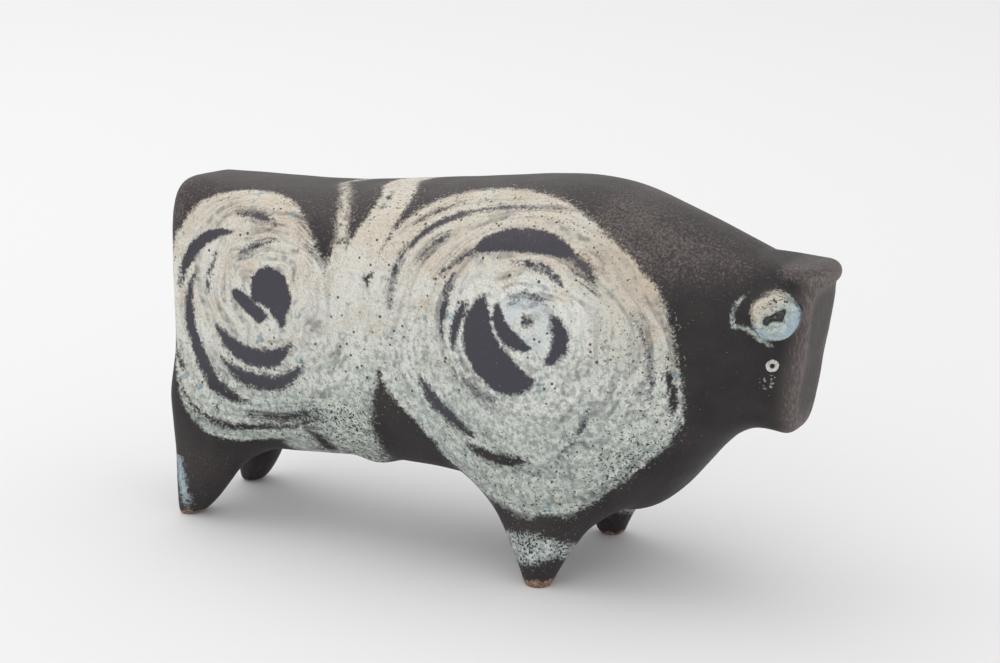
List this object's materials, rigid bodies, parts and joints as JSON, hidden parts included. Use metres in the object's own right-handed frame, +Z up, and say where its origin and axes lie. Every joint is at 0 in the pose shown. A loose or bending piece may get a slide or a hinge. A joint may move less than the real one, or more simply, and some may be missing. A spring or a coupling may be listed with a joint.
{
  "type": "stoneware bull sculpture",
  "caption": "Hollow stoneware bull on short cone feet, with a narrow leaning face, stub horns and pale brushed whorls over a dark matte glaze.",
  "frame": {"origin": "on the ground, in the middle of the bull's length and width", "axes": "+X from the rump to the face, +Y to the bull's left, +Z up"},
  "size_m": [0.2376, 0.0824, 0.1317],
  "materials": {
    "dark_glaze": "matte black-brown iron glaze with pale grey-green glaze brushed over it in whorls",
    "pale_glaze": "pale grey-green glaze, satin, speckled with iron, bluish where it is thick",
    "white_slip": "white slip, matte"
  },
  "bodies": {
    "root": {"torso_barrel": "dark_glaze", "rump_slab": "dark_glaze", "head_shell": "dark_glaze", "face_slab": "dark_glaze", "belly_nub": "dark_glaze", "front_right_leg": "dark_glaze", "front_left_leg": "dark_glaze", "rear_right_leg": "dark_glaze", "rear_left_leg": "dark_glaze", "right_horn": "pale_glaze", "left_horn": "pale_glaze", "right_eye_ring": "white_slip", "left_eye_ring": "white_slip"}
  },
  "joints": []
}
